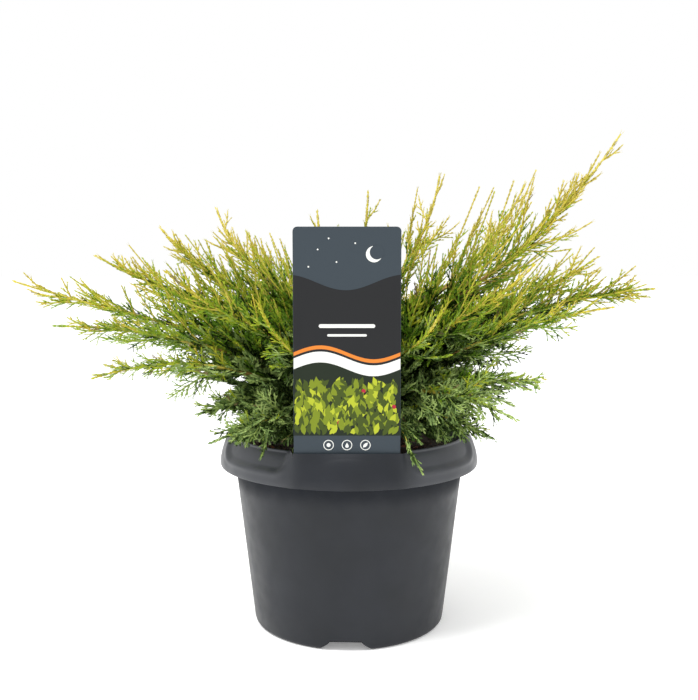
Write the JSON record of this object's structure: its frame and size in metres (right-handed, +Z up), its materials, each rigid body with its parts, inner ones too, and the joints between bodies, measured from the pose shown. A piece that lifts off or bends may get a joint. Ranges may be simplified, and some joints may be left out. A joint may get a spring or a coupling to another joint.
{
  "type": "potted spreading golden juniper",
  "caption": "Young spreading juniper with golden shoot tips in a round nursery pot, with an upright plant label in the pot's rim.",
  "frame": {"origin": "middle of the pot's flat underside, on the surface it stands on", "axes": "+Z up along the pot's axis, +X to the right seen from the label's side, +Y away from the label's side"},
  "size_m": [0.4738, 0.2998, 0.3533],
  "materials": {
    "pot": "anthracite injection-moulded polypropylene, fine satin skin",
    "soil": null,
    "label": null,
    "bark": "thin brown bark with lengthwise flakes",
    "foliage": null
  },
  "bodies": {
    "root": {"pot": "pot", "soil": "soil", "label": "label", "trunk": "bark", "bough_right_tall": "bark", "foliage_right_tall": "foliage", "bough_right_wide": "bark", "foliage_right_wide": "foliage", "bough_right_inner": "bark", "foliage_right_inner": "foliage", "bough_right_low": "bark", "foliage_right_low": "foliage", "bough_right_skirt": "bark", "foliage_right_skirt": "foliage", "bough_right_fan": "bark", "foliage_right_fan": "foliage", "foliage_right_rim": "foliage", "bough_right_middle": "bark", "foliage_right_middle": "foliage", "bough_front_right": "bark", "foliage_front_right": "foliage", "foliage_front_right_rim": "foliage", "foliage_front_middle": "foliage", "bough_front_left": "bark", "foliage_front_left": "foliage", "foliage_left_rim": "foliage", "bough_left_middle": "bark", "foliage_left_middle": "foliage", "bough_left_hang": "bark", "foliage_left_hang": "foliage", "bough_left_skirt": "bark", "foliage_left_skirt": "foliage", "bough_left_low": "bark", "foliage_left_low": "foliage", "bough_left_wide": "bark", "foliage_left_wide": "foliage", "bough_left_upper": "bark", "foliage_left_upper": "foliage", "bough_left_tall": "bark", "foliage_left_tall": "foliage", "bough_back_left_tall": "bark", "foliage_back_left_tall": "foliage", "bough_back_left_crest": "bark", "foliage_back_left_crest": "foliage", "foliage_back_crest": "foliage", "bough_back_right_crest": "bark", "foliage_back_right_crest": "foliage", "bough_back_right_tall": "bark", "foliage_back_right_tall": "foliage", "bough_back_right_skirt": "bark", "foliage_back_right_skirt": "foliage", "bough_back_right_low": "bark", "foliage_back_right_low": "foliage", "bough_back_low": "bark", "foliage_back_low": "foliage", "bough_back_left_low": "bark", "foliage_back_left_low": "foliage", "bough_back_left_skirt": "bark", "foliage_back_left_skirt": "foliage"}
  },
  "joints": []
}
